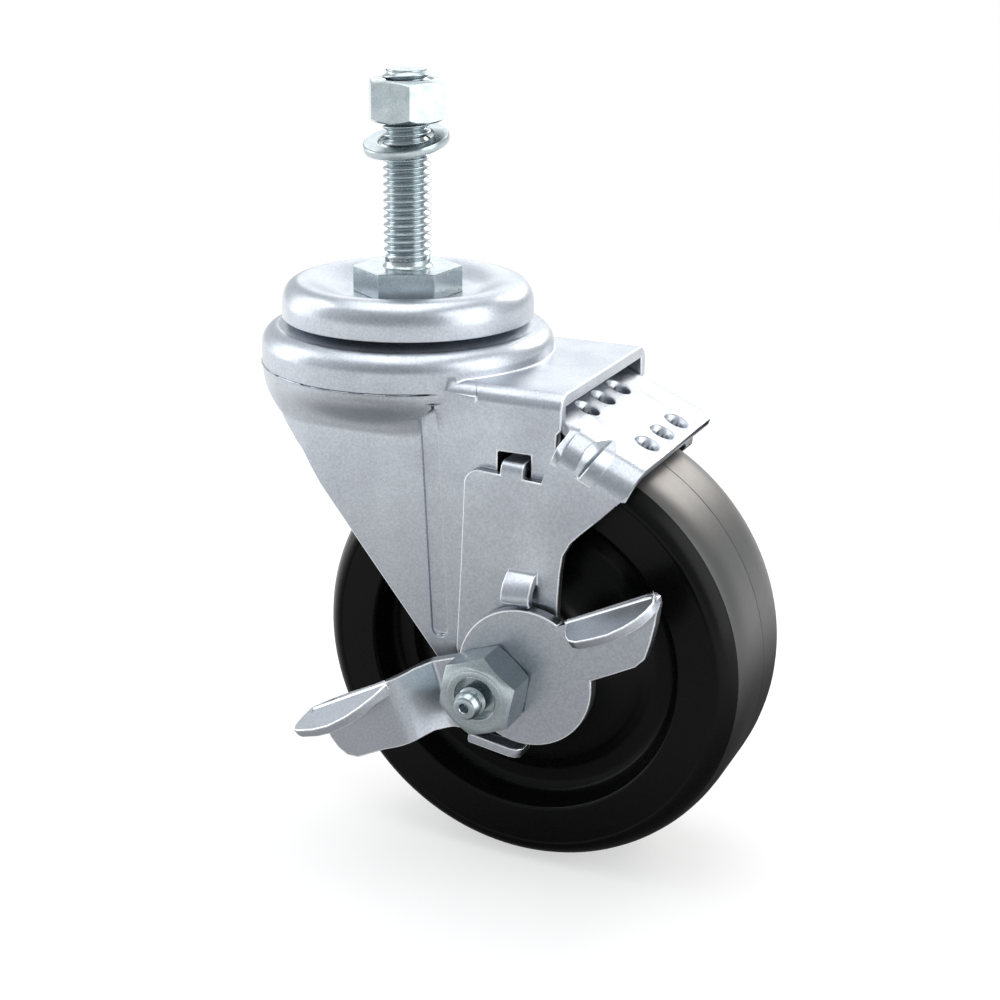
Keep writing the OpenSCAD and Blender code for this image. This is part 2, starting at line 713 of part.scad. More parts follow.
module ledge() {
    // The bar bent out under the cam disc, with a neck back to the cheek
    y = -cheek_out;
    translate([33, 0, axle_z + cam_z - cam_r - 0.5]) rotate([0, 9, 0]) translate([0, 0, -1.9])
        linear_extrude(height = 1.9)
            polygon([[0.5, y + 0.5], [5.2, y + 0.5], [5.2, y - 3.4], [4.4, y - 4.6], [3, y - 5], [-5.4, y - 5],
                [-5.9, y - 4.4], [-5.9, y - 2.6], [0.5, y - 1.6]]);
}

module tongues() {
    // Each cheek's tongue bends inward through the window of its leg
    top = from_roof(cheek_top[0])[1] + 2.2;
    for (s = [-1, 1]) scale([1, s, 1]) translate([tongue_x[0], -cheek_out, top]) rotate([90, 0, 90])
        linear_extrude(height = tongue_x[1] - tongue_x[0])
            polygon([[0, -4], [0, -1.6], [0.5, -0.6], [1.4, 0], [6.5, 0], [6.5, -shoe_t], [2.3, -shoe_t], [shoe_t, -2.5],
                [shoe_t, -4]]);
}

module shoe_teeth(r, depth, above) {
    on_web() for (row = tooth_rows) for (i = [-1:1])
        translate([row, i * tooth_pitch, -depth]) cylinder(h = depth + above, r = r, $fn = 32);
}

module tooth_flares() {
    // The rim of each pierced tooth is drawn down from the web's top
    on_web() for (row = tooth_rows) for (i = [-1:1])
        translate([row, i * tooth_pitch, -1]) cylinder(h = 1.01, r1 = tooth_r, r2 = tooth_r + 0.8, $fn = 32);
}

module brake_shoe() {
    color(zinc) difference() {
        union() {
            intersection() {
                union() {
                    for (s = [-1, 1])
                        side_plate(min(s * cheek_in, s * cheek_out), max(s * cheek_in, s * cheek_out))
                            difference() {
                                cheek_profile();
                                translate(web_top) rotate(-web_slope) translate([-20, -shoe_fold_r])
                                    square([60, 20]);
                            }
                    shoe_sheet();
                }
                shoe_plan();
            }
            shoe_teeth(tooth_r + 1.1, shoe_t + tooth_h, -0.5);
            lanced_tab();
            ledge();
            tongues();
        }
        shoe_teeth(tooth_r, shoe_t + tooth_h + over, over);
        tooth_flares();
    }
}

// Cam lever: a disc set off the axle, a lock arm and a cranked release arm, both with lips.
// Its outlines are drawn from the axle
module lever_face() {
    scale(growth) {
        translate([cam_x, cam_z] / growth) circle(r = cam_r / growth);
        polygon([[8, 14], [12.63, 13.9], [15, 14.95], [29.6, 22.3], [30.9, 22.7], [31.9, 22.2], [32.2, 21],
            [31.8, 17.4], [31, 13.4], [30.1, 10.3], [28.3, 8.4], [24.5, 6.4], [20.6, 4.4], [12, 0]]);
    }
}

module arm_outline() {
    scale(growth) polygon([[2, 6], [-9.05, 3.2], [-11.6, 2.3], [-13.4, 1.75], [-15.1, 1.2], [-16.8, 0.3], [-18.9, -0.7],
        [-22.1, -2.6], [-25.5, -4.3], [-30.4, -6.9], [-35.4, -9.8], [-35, -10.6], [-33.6, -11.8], [-32.6, -13.4],
        [-31.5, -15.2], [-29.9, -17], [-27.9, -18.2], [-25.6, -18.2], [-19.7, -15.3], [-16.9, -14.2], [-13.4, -12.5],
        [-10.9, -11.2], [-6.9, -11], [2, -10]]);
}

// One side of the cranked sheet, drawn along the arm: out by two bends of equal angle
function crank_side(d) =
    let (b = crank_angle, r = crank_r, rise = 2 * r * (1 - cos(b)), len = (crank_out - rise) / sin(b),
        end = [2 * r * sin(b) + len * cos(b), crank_out])
    concat([[-20, d]], arc([0, r], r - d, -90, b - 90), arc(end - [0, r], r + d, 90 + b, 90), [[40, crank_out + d]]);

module crank_sheet() {
    half = lever_t / 2;
    inner = crank_side(-half);
    last = len(inner) - 1;
    translate([-11.2, -lever_in - half, 0]) rotate([0, -18, 0]) translate([0, 0, -30])
        linear_extrude(height = 60) mirror([1, 0]) mirror([0, 1])
            polygon(concat(crank_side(half), [for (i = [last:-1:0]) inner[i]]));
}

module lip(from, to, tilt, outline) {
    // A leaf-shaped lip folded outward along one edge of an arm
    lip_t = 2;
    translate(from) rotate([0, -atan2(to[2] - from[2], to[0] - from[0]), 0]) rotate([tilt, 0, 0])
        translate([0, 0, -lip_t]) linear_extrude(height = lip_t) scale(growth) polygon(outline);
}

module cam_lever() {
    lip_tilt = 22;
    face = -lever_out;
    right_leaf = [[-0.3, 1], [-0.3, -2], [0.3, -4], [1.3, -5.5], [3, -6.5], [6.5, -7], [10, -7.1], [13, -6.3],
        [15.6, -5], [17.3, -3.4], [18.4, -1.6], [18.2, 1]];
    left_leaf = [[0, 1], [-1.7, -1], [-2.8, -3], [-2.6, -4.4], [-1.4, -5.2], [3, -6.6], [7, -7.1], [11, -6.3],
        [14.2, -4.7], [17, -2.7], [19, -0.5], [18.6, 1]];
    color(zinc) translate([trail, 0, axle_z]) difference() {
        union() {
            side_plate(-lever_out, -lever_in) lever_face();
            intersection() {
                crank_sheet();
                side_plate(-lever_out - crank_out - over, -lever_in + over) arm_outline();
            }
            lip(growth * [15, face / growth, 14.9], growth * [31, face / growth, 22.6], lip_tilt, right_leaf);
            lip(growth * [-36, (face - crank_out) / growth, -10.2], growth * [-22.1, (face - crank_out) / growth, -2.7],
                lip_tilt, left_leaf);
        }
        rotate([90, 0, 0]) cylinder(h = lever_out + over, r = axle_r + 1.2 + run_gap);
    }
}

threaded_stem();
stem_nut();
lock_washer();
top_cap();
upper_balls();
lower_balls();
lower_race();
fork();
axle_bolt();
axle_nut();
grease_fitting();
cam_bush();
far_washer();
spanner_bushing();
near_thrust_washer();
far_thrust_washer();
wheel();
bearing_sleeve();
bearing_rollers();
bearing_cage();
brake_shoe();
cam_lever();
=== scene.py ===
"""Looks of a threaded stem castor: zinc-plated pressings and a black hard rubber wheel."""

import json
import math

import bpy
from mathutils import Matrix, Vector

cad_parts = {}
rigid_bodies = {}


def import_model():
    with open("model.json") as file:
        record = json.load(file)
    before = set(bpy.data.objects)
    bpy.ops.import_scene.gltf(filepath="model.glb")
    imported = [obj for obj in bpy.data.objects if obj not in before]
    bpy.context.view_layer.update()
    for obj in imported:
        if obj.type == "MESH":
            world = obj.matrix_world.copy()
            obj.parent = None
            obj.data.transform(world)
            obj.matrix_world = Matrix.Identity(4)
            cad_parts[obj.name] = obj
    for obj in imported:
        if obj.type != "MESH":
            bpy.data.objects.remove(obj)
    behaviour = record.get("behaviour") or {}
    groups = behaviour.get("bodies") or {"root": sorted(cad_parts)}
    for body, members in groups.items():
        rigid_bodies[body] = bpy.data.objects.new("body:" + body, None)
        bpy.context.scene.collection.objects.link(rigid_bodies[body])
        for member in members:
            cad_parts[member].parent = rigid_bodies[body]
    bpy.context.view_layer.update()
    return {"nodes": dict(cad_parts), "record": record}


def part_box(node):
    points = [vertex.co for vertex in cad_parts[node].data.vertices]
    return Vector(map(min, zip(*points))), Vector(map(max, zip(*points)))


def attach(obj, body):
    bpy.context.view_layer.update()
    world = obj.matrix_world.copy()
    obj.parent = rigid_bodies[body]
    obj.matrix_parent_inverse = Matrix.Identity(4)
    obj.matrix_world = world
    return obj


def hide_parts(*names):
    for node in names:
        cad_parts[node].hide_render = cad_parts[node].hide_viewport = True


bl_info = {
    "name": "Threaded stem castor",
    "version": (1, 0, 0),
    "blender": (4, 5, 0),
    "location": "View3D > Sidebar > Castor",
    "description": "Dresses the castor's frame with its finishes, thread, chamfers and stage",
    "category": "Object",
}

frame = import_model()
NODES = frame["nodes"]
BODY_OF = {node: body for body, nodes in frame["record"]["behaviour"]["bodies"].items() for node in nodes}
SLOT_OF = {row["node"]: row["material_slot"] for row in frame["record"]["subparts"]}
MM = 0.001

# Places read from the frame
STEM_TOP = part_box("threaded_stem")[1].z
WHEEL_LOW, WHEEL_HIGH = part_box("wheel")
NUT_LOW, NUT_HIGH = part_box("stem_nut")
AXLE = (WHEEL_LOW + WHEEL_HIGH) / 2
FLOOR_Z = WHEEL_LOW.z

# The radius at which the wheel's face ends and its tread starts
TREAD_FROM = 43.2 * MM

# The stem: radii of the thread, the neck and the end, and the neck's height
THREAD_R, NECK_R, END_R = 4.72 * MM, 4.45 * MM, 3.75 * MM
NECK_H = 1.9 * MM

# The hexagon: its width across flats, its lower face and its turn about the stem
HEX_AF, HEX_LOW, HEX_TURN = 18.8 * MM, -5.2 * MM, math.radians(-5)

# Chamfered nuts, in mm: radius of the flat face, radius at the cone's foot, and the cone's height
AXLE_NUT_CONE = (6.3, 8.6, 1.3)
STEM_NUT_CONE = (6.5, 8.4, 1.05)
WASHER_EDGE = 0.45 * MM

# The shoe's web: the top of its slope, the slope, half of its width, and the radius of its folds
WEB_TOP = Vector((37.2, 0, -19.8)) * MM
WEB_SLOPE = math.radians(24)
SHOE_HALF, FOLD_R = 24.55 * MM, 6 * MM

# The skins over its folds: their lift and thickness, where they start across, how far the near and the far
# one reach, the stretch of the slope that they cover, and the cheek's slant edge, at which they end
SKIN_LIFT, SKIN_T = 0.03 * MM, 0.35 * MM
SKIN_FROM, NEAR_REACH, FAR_REACH = 12.2 * MM, 22 * MM, 15 * MM
SKIN_RUNS = (8.4 * MM, 22.6 * MM)
SLANT_FROM, SLANT = 13.8 * MM, 2.6
SKIN_GRID = (72, 96)

# The leaf-shaped dart: both ends as places down the slope and across, half of its width, and its depth
DART_FOOT, DART_TIP = (14.2 * MM, 19.4 * MM), (14.0 * MM, 3.2 * MM)
DART_WIDTH, DART_DEPTH = 2.5 * MM, 1.5 * MM

# The web's far corner: the centre of its round, the radius, and the directions of its cuts in degrees
FAR_CORNER = Vector((53.4, 14.4, 0)) * MM
CORNER_R, CORNER_CUTS = 6 * MM, (25, 50)

# Where the fork's pressed groove and the seam of its bowl lie, in mm
GROOVE_X, GROOVE_LOW, BOWL_LOW = (13, 20), -68, -27

# Pieces whose meshes keep all their faces, since merging the flat ones would break the rounded edges
WHOLE_MESHES = ("brake_shoe", "fork")
TURNED = ("lock_washer", "axle_bolt", "far_washer", "cam_bush", "lower_race", "spanner_bushing")
INNER = ("upper_balls", "lower_balls", "bearing_sleeve", "bearing_rollers", "bearing_cage",
         "near_thrust_washer", "far_thrust_washer")

# Materials: the part of a noise's range that most places have, the speck's shades, and the height of a relief
NOISE_RANGE = (0.3, 0.7)
SPECK_SHADES = (0.86, 1.1)
RELIEF_H = 0.03 * MM

# Camera: its view of the castor in degrees and metres, and the pixel at which its target lies
CAMERA_AZIMUTH, CAMERA_ELEVATION, CAMERA_ROLL = 25.118, 18.09, 0.185
CAMERA_DISTANCE = 367.065 * MM
CAMERA_TARGET = Vector((13.125, 0, -42.125)) * MM
SENSOR = 36
FRAME_PIXELS = 1000
FOCAL_PIXELS = 1816.222
TARGET_PIXEL = (467.149, 476.431)

# Lamps: name, place, size in metres, power in watts and colour. All of them face the same spot.
LAMP_TARGET = Vector((0.02, 0, -0.04))
LAMPS = (
    ("top", (-0.05, 0.0, 0.75), (0.9, 0.7), 3.6, "#FFFFFF"),
    ("left", (-0.75, -0.1, 0.25), (0.5, 0.9), 3.2, "#FFFFFF"),
    ("right", (0.8, -0.05, 0.25), (0.6, 0.9), 4.0, "#FFFFFF"),
    ("behind", (-0.1, 0.85, 0.42), (1.1, 0.6), 2.2, "#FFFFFF"),
    ("sheen", (0.3, 0.85, 0.43), (0.3, 0.36), 2.4, "#FFF6EC"),
)

# The room: its colour, its light on the castor, and how it dims, where it is seen, towards the camera's side
ROOM_COLOUR, ROOM_LIGHT = "#EDF0F2", 0.7
DIM_SIDE = (0.42, -0.9, -0.1)
DIM_RAMP = (0.1, 0.95, 1.0, 0.6)

# The floor: how white the camera sees it, from nearby to far, and two spots round which it carries a painted
# shade that only metal mirrors.
# A ramp holds two distances in metres, then the levels at them.
FLOOR_RAMP = (0.2, 0.8, 0.55, 1.0)
PAINTED_SHADE_SPOTS = (((0, -0.13, 0), (0.03, 0.2, 0.55, 1.4)), ((0.05, 0.05, 0), (0.07, 0.2, 0.1, 1.4)))


def linear(code):
    """A hex colour as sRGB, turned to the linear values that the shader takes."""
    values = [int(code[i:i + 2], 16) / 255 for i in (1, 3, 5)]
    return tuple(v / 12.92 if v <= 0.04045 else ((v + 0.055) / 1.055) ** 2.4 for v in values)


class SizeSettings(bpy.types.PropertyGroup):
    """Sizes of the details that are added to the frame."""
    thread_pitch: bpy.props.FloatProperty(
        name="Thread pitch", description="Distance from one ridge of the stem's thread to the next",
        default=1.5875 * MM, min=0.5 * MM, max=3 * MM, precision=5, unit="LENGTH")
    thread_depth: bpy.props.FloatProperty(
        name="Thread depth", description="Depth of the stem's thread",
        default=0.85 * MM, min=0.2 * MM, max=1.5 * MM, precision=5, unit="LENGTH")
    edge_round: bpy.props.FloatProperty(
        name="Edge rounding", description="Width of the rounded edge on a pressed sheet",
        default=0.28 * MM, min=0.05 * MM, max=1 * MM, precision=5, unit="LENGTH")
    bar_edge: bpy.props.FloatProperty(
        name="Turned edge", description="Width of the rounded edge on a nut, bolt or washer",
        default=0.18 * MM, min=0.05 * MM, max=1 * MM, precision=5, unit="LENGTH")


class FinishSettings(bpy.types.PropertyGroup):
    """Colours of the castor and its stage."""
    zinc: bpy.props.FloatVectorProperty(
        name="Zinc plate", description="Blue-white zinc plate on pressed sheet",
        default=linear("#B9BFC5"), size=3, min=0, max=1, subtype="COLOR")
    turned_zinc: bpy.props.FloatVectorProperty(
        name="Turned zinc plate", description="Zinc plate on nuts, bolts and the stem",
        default=linear("#B4BABE"), size=3, min=0, max=1, subtype="COLOR")
    rubber: bpy.props.FloatVectorProperty(
        name="Hard rubber", description="Black moulded hard rubber of the wheel",
        default=linear("#050506"), size=3, min=0, max=1, subtype="COLOR")
    floor: bpy.props.FloatVectorProperty(
        name="Floor", description="Pale studio floor",
        default=linear("#FAFAFA"), size=3, min=0, max=1, subtype="COLOR")


def sizes():
    return bpy.context.scene.castor_sizes


def finishes():
    return bpy.context.scene.castor_finishes


# Materials


def node(tree, kind, links=(), **settings):
    """Adds one node, sets its sockets or properties by name and links the pairs given."""
    made = tree.nodes.new(kind)
    sockets = {socket.name.lower(): socket for socket in made.inputs}
    for key, value in settings.items():
        if hasattr(made, key):
            setattr(made, key, value)
        else:
            sockets[key.replace("_", " ")].default_value = value
    for source, socket in links:
        tree.links.new(source, made.inputs[socket])
    return made


def ramp(tree, source, values):
    """A node that maps a source from one range to another: values holds the first range, then the second."""
    made = node(tree, "ShaderNodeMapRange", [(source, "Value")])
    for key, value in zip(("From Min", "From Max", "To Min", "To Max"), values):
        made.inputs[key].default_value = value
    return made


def larger(tree, first, second):
    return node(tree, "ShaderNodeMath", [(first, 0), (second, 1)], operation="MAXIMUM").outputs["Value"]


def new_material(name):
    """An empty node material, with its tree and its shader."""
    material = bpy.data.materials.new(name)
    material.use_nodes = True
    tree = material.node_tree
    return material, tree, tree.nodes["Principled BSDF"]


def plated(name, base, deep, cloud_size, grain_size, gloss_range, relief):
    """Zinc plate over steel: a slow change of tint, and a fine satin grain that breaks up the mirror."""
    material, tree, shader = new_material(name)
    place = node(tree, "ShaderNodeTexCoord")
    cloud = node(tree, "ShaderNodeTexNoise", [(place.outputs["Object"], "Vector")],
                 scale=1 / cloud_size, detail=3.0, roughness=0.55)
    grain = node(tree, "ShaderNodeTexNoise", [(place.outputs["Object"], "Vector")],
                 scale=1 / grain_size, detail=2.0, roughness=0.6)
    tint = node(tree, "ShaderNodeMix", data_type="RGBA")
    tint.inputs["A"].default_value = (*base, 1)
    tint.inputs["B"].default_value = (*linear(deep), 1)
    tree.links.new(cloud.outputs["Fac"], tint.inputs["Factor"])
    speck = ramp(tree, grain.outputs["Fac"], (*NOISE_RANGE, *SPECK_SHADES))
    colour = node(tree, "ShaderNodeVectorMath", [(tint.outputs["Result"], 0)], operation="SCALE")
    tree.links.new(speck.outputs["Result"], colour.inputs["Scale"])
    gloss = ramp(tree, cloud.outputs["Fac"], (*NOISE_RANGE, *gloss_range))
    bump = node(tree, "ShaderNodeBump", [(grain.outputs["Fac"], "Height")],
                strength=relief, distance=RELIEF_H)
    tree.links.new(colour.outputs["Vector"], shader.inputs["Base Color"])
    tree.links.new(gloss.outputs["Result"], shader.inputs["Roughness"])
    tree.links.new(bump.outputs["Normal"], shader.inputs["Normal"])
    shader.inputs["Metallic"].default_value = 1.0
    return material


def zinc_plated_sheet():
    """Bright zinc plate on cold-rolled sheet: a soft satin mirror with a fine rolled grain."""
    return plated("zinc_plated_sheet", finishes().zinc, "#A7ABB4", 11 * MM, 0.45 * MM, (0.27, 0.4), 0.2)


def zinc_plated_bar():
    """Bright zinc plate on turned and cold-headed steel: sharper highlights, a little colder."""
    return plated("zinc_plated_bar", finishes().turned_zinc, "#98A8AC", 3 * MM, 0.3 * MM, (0.18, 0.32), 0.12)


def painted_edge_highlight():
    """The narrow rounded edge along a cut in the sheet, painted near white as a highlight."""
    return plated("painted_edge_highlight", linear("#F2F4F5"), "#DDE1E4", 4 * MM, 0.3 * MM, (0.4, 0.5), 0.1)


def ground_bearing_steel():
    """Ground bearing steel of the balls and rollers: darker and close to a mirror."""
    material, tree, shader = new_material("ground_bearing_steel")
    place = node(tree, "ShaderNodeTexCoord")
    cloud = node(tree, "ShaderNodeTexNoise", [(place.outputs["Object"], "Vector")],
                 scale=1 / (2 * MM), detail=2.0)
    gloss = ramp(tree, cloud.outputs["Fac"], (0, 1, 0.12, 0.26))
    tree.links.new(gloss.outputs["Result"], shader.inputs["Roughness"])
    shader.inputs["Base Color"].default_value = (*linear("#9A9C9E"), 1)
    shader.inputs["Metallic"].default_value = 1.0
    return material


def moulded_rubber(name, colour, gloss_range, shine):
    """Rubber out of a mould: a fine speck in the colour and the relief, on the wheel's own axis."""
    material, tree, shader = new_material(name)
    place = node(tree, "ShaderNodeTexCoord")
    centre = node(tree, "ShaderNodeMapping", [(place.outputs["Object"], "Vector")])
    centre.inputs["Location"].default_value = (-AXLE.x, -AXLE.y, -AXLE.z)
    speck = node(tree, "ShaderNodeTexNoise", [(centre.outputs["Vector"], "Vector")],
                 scale=1 / (1.2 * MM), detail=3.0, roughness=0.7)
    tint = node(tree, "ShaderNodeMix", [(speck.outputs["Fac"], "Factor")], data_type="RGBA")
    tint.inputs["A"].default_value = (*finishes().rubber, 1)
    tint.inputs["B"].default_value = (*linear(colour), 1)
    gloss = ramp(tree, speck.outputs["Fac"], (0, 1, *gloss_range))
    bump = node(tree, "ShaderNodeBump", [(speck.outputs["Fac"], "Height")], strength=0.08, distance=RELIEF_H)
    tree.links.new(tint.outputs["Result"], shader.inputs["Base Color"])
    tree.links.new(gloss.outputs["Result"], shader.inputs["Roughness"])
    tree.links.new(bump.outputs["Normal"], shader.inputs["Normal"])
    shader.inputs["Specular IOR Level"].default_value = shine
    return material


def moulded_hard_rubber():
    """Black hard rubber with a mould skin: nearly black faces that only shine along their edges."""
    return moulded_rubber("moulded_hard_rubber", "#0A0A0A", (0.22, 0.34), 0.12)


def rubbed_tread():
    """The same rubber, rubbed satin by rolling: a broad warm-grey sheen towards the light."""
    return moulded_rubber("rubbed_tread", "#12100F", (0.34, 0.46), 1.0)


MAKERS = {
    "zinc_sheet": zinc_plated_sheet,
    "zinc_bar": zinc_plated_bar,
    "bearing_steel": ground_bearing_steel,
    "hard_rubber": moulded_hard_rubber,
}


def made_once(maker):
    """The material that a function makes, from its first call."""
    return bpy.data.materials.get(maker.__name__) or maker()


# Shaping


def deselect():
    for thing in bpy.context.scene.objects:
        thing.select_set(False)
    bpy.context.view_layer.objects.active = None


def activate(piece):
    deselect()
    piece.select_set(True)
    bpy.context.view_layer.objects.active = piece


def join(piece, parts):
    activate(piece)
    for part in parts:
        part.select_set(True)
    bpy.ops.object.join()


def edit_all(piece):
    """Opens a piece for editing, with all of its mesh selected."""
    activate(piece)
    bpy.ops.object.mode_set(mode="EDIT")
    bpy.ops.mesh.select_all(action="SELECT")


def copy_of(name):
    """A copy of a frame node's mesh, merged to one closed skin, as the start of a dressed piece."""
    piece = bpy.data.objects.new(name + "_plated", NODES[name].data.copy())
    bpy.context.scene.collection.objects.link(piece)
    piece.data.materials.clear()
    edit_all(piece)
    bpy.ops.mesh.remove_doubles(threshold=0.002 * MM)
    if name not in WHOLE_MESHES:
        bpy.ops.mesh.dissolve_limited(angle_limit=math.radians(0.6))
    bpy.ops.object.mode_set(mode="OBJECT")
    return piece


def shade(piece, corner=32):
    """Shades gentle bends smooth, sharp ones sharp, and keeps flat faces flat beside rounded ones."""
    activate(piece)
    bpy.ops.object.shade_smooth_by_angle(angle=math.radians(corner))
    flatten = piece.modifiers.new("flats", "WEIGHTED_NORMAL")
    flatten.weight = 100
    flatten.keep_sharp = True
    bpy.ops.object.modifier_apply(modifier="flats")


def round_edges(piece, width, corner=32, clamp=True):
    """Rounds every edge sharper than the given angle, and shades the rest smooth."""
    activate(piece)
    bevel = piece.modifiers.new("edges", "BEVEL")
    # Bevel faces take the second material: on sheet pieces, the painted edge highlight
    if len(piece.data.materials) > 1:
        bevel.material = 1
    bevel.width = width
    bevel.segments = 2
    bevel.limit_method = "ANGLE"
    bevel.angle_limit = math.radians(corner)
    bevel.use_clamp_overlap = clamp
    bpy.ops.object.modifier_apply(modifier="edges")
    shade(piece)


def sheet_piece(name, corner):
    """A piece cut from sheet: its edges are rounded and carry a painted highlight."""
    piece = copy_of(name)
    piece.data.materials.append(made_once(zinc_plated_sheet))
    piece.data.materials.append(made_once(painted_edge_highlight))
    round_edges(piece, sizes().edge_round, corner, clamp=False)
    return piece


def finish_piece(piece, name):
    """Gives a dressed piece the material of its node's slot if it has none yet, attaches it to its body, and
    lets it stand for its node.
    """
    if not piece.data.materials:
        piece.data.materials.append(made_once(MAKERS[SLOT_OF[name]]))
    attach(piece, BODY_OF[name])
    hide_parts(name)


def metres(points):
    """An outline in mm, turned to metres."""
    return [(radius * MM, height * MM) for radius, height in points]


def arc(centre, radius, start, stop, count=8):
    """Places on an arc, in degrees, both ends included."""
    turns = [math.radians(start + (stop - start) * i / count) for i in range(count + 1)]
    return [(centre[0] + radius * math.cos(turn), centre[1] + radius * math.sin(turn)) for turn in turns]


def swept(name, outline, steps, rise=0, turns=1, ends=()):
    """Sweeps an outline of (radius, height) points round the upright axis, as a screw that rises each turn.

    Each of the ends is a level at which the piece is cut off and closed, and whether its upper side goes.
    """
    mesh = bpy.data.meshes.new(name)
    mesh.from_pydata([(radius, 0, height) for radius, height in outline],
                     [(i, i + 1) for i in range(len(outline) - 1)], [])
    piece = bpy.data.objects.new(name, mesh)
    bpy.context.scene.collection.objects.link(piece)
    activate(piece)
    screw = piece.modifiers.new("screw", "SCREW")
    screw.axis, screw.screw_offset, screw.iterations = "Z", rise, turns
    screw.steps = screw.render_steps = steps
    screw.angle = math.tau
    bpy.ops.object.modifier_apply(modifier="screw")
    edit_all(piece)
    bpy.ops.mesh.remove_doubles(threshold=0.004 * MM)
    for level, upper in ends:
        bpy.ops.mesh.select_all(action="SELECT")
        bpy.ops.mesh.bisect(plane_co=(0, 0, level), plane_no=(0, 0, 1), use_fill=True,
                            clear_outer=upper, clear_inner=not upper)
    bpy.ops.mesh.select_all(action="SELECT")
    bpy.ops.mesh.normals_make_consistent(inside=False)
    bpy.ops.object.mode_set(mode="OBJECT")
    return piece


def on_axle(piece, front):
    """Turns a swept piece from the upright axis to the axle, its height 0 at the given place."""
    activate(piece)
    piece.rotation_euler = (-math.pi / 2, 0, 0)
    piece.location = (AXLE.x, front, AXLE.z)
    bpy.ops.object.transform_apply(location=True, rotation=True, scale=True)
    return piece


def chamfered(name, cone):
    """A nut cut to the cone given, which draws the arcs at its corners."""
    nut = copy_of(name)
    cut = nut.modifiers.new("chamfer", "BOOLEAN")
    cut.operation, cut.object, cut.solver = "INTERSECT", cone, "EXACT"
    bpy.ops.object.modifier_apply(modifier="chamfer")
    bpy.data.objects.remove(cone)
    round_edges(nut, sizes().bar_edge * 0.6)
    return nut


# Pressed sheet: the cap, the lever, the fork and the brake shoe


def cap_outline():
    """The cap's closed section: flat floor, soft dish, broad shoulder, skirt and the race over the balls."""
    bore, floor, skirt, foot = 6.35, -5.2, 25.1, -9.7
    dish = [(bore, floor), (12.6, floor), (13.6, -5.1), (14.8, -4.7), (16.2, -4.05), (17.6, -3.35),
            (18.8, -2.85), (19.9, -2.52), (21.0, -2.4)]
    shoulder = [(21.9, -2.5), (22.8, -2.8), (23.6, -3.35), (24.25, -4.1), (24.7, -5.0), (24.98, -6.0),
                (skirt, -7.1)]
    rim = [(skirt, foot + 0.25), (skirt - 0.1, foot + 0.05), (skirt - 0.3, foot), (22.7, foot), (22.5, -9.5)]
    race = arc((19.3, -7.7), 3.2, 0, 180, 14) + [(16.1, -7.8)]
    return metres([(bore, -7.8)] + dish + shoulder + rim + race + [(bore, -7.8)])


class CASTOR_OT_pressings(bpy.types.Operator):
    """Dress the cap, the cam lever and the fork with rounded edges, a painted highlight on those of the lever
    and the fork
    """
    bl_idname = "castor.pressings"
    bl_label = "Cap, lever and fork"

    def execute(self, context):
        cap = swept("top_cap_plated", cap_outline(), 120)
        shade(cap, 40)
        finish_piece(cap, "top_cap")
        finish_piece(sheet_piece("cam_lever", 60), "cam_lever")
        fork = sheet_piece("fork", 70)
        # The pressed groove and the seam of the bowl are no cuts, so they get no painted edge highlight
        left, right = GROOVE_X
        for face in fork.data.polygons:
            x, _, z = face.center / MM
            if (left < x < right and z > GROOVE_LOW) or (x < left and z > BOWL_LOW):
                face.material_index = 0
        finish_piece(fork, "fork")
        return {"FINISHED"}


def on_fold(run, across, side, lift):
    """A place on the shoe's outer face: run down the slope, and across over the fold to the cheek."""
    flat = SHOE_HALF - FOLD_R - SKIN_FROM
    bend = FOLD_R * math.pi / 2
    if across < flat:
        y, up, normal = SKIN_FROM + across, 0.0, (0.0, 1.0)
    elif across < flat + bend:
        turn = (across - flat) / FOLD_R
        y, up = SHOE_HALF - FOLD_R + FOLD_R * math.sin(turn), FOLD_R * (math.cos(turn) - 1)
        normal = (math.sin(turn), math.cos(turn))
    else:
        y, up, normal = SHOE_HALF, -FOLD_R - (across - flat - bend), (1.0, 0.0)
    y += lift * normal[0]
    up += lift * normal[1]
    place = WEB_TOP + Vector((run * math.cos(WEB_SLOPE) + up * math.sin(WEB_SLOPE), 0,
                              up * math.cos(WEB_SLOPE) - run * math.sin(WEB_SLOPE)))
    place.y = side * y
    return place


def dart_depth(run, across):
    """How far the leaf-shaped dart is pressed in at a place: a V, pointed at both ends."""
    foot, tip = Vector(DART_FOOT), Vector(DART_TIP)
    line = tip - foot
    along = (Vector((run, across)) - foot).dot(line) / line.length_squared
    if not 0 < along < 1:
        return 0.0
    aside = (Vector((run, across)) - foot - line * along).length
    swell = math.sin(math.pi * along)
    half = DART_WIDTH * swell ** 0.7
    return -DART_DEPTH * swell ** 0.5 * max(0.0, 1 - aside / half) if half > 0 else 0.0


def fold_skin(side, most, dart):
    """A sheet laid over one fold of the shoe, subdivided finely enough to press the dart into it."""
    deselect()
    bpy.ops.mesh.primitive_grid_add(x_subdivisions=SKIN_GRID[0], y_subdivisions=SKIN_GRID[1], size=1)
    piece = bpy.context.object
    first, last = SKIN_RUNS
    for vertex in piece.data.vertices:
        run = first + (vertex.co.x + 0.5) * (last - first)
        reach = min(most, SLANT_FROM + (last - run) * SLANT)
        across = (vertex.co.y + 0.5) * reach
        vertex.co = on_fold(run, across, side, SKIN_LIFT + (dart_depth(run, across) if dart else 0.0))
    edit_all(piece)
    bpy.ops.mesh.normals_make_consistent(inside=False)
    bpy.ops.object.mode_set(mode="OBJECT")
    if sum(face.normal.z for face in piece.data.polygons) < 0:
        piece.data.flip_normals()
    piece.data.materials.append(made_once(zinc_plated_sheet))
    thick = piece.modifiers.new("sheet", "SOLIDIFY")
    thick.thickness = SKIN_T
    thick.offset = -1
    bpy.ops.object.modifier_apply(modifier="sheet")
    bpy.ops.object.shade_smooth_by_angle(angle=math.radians(34))
    return piece


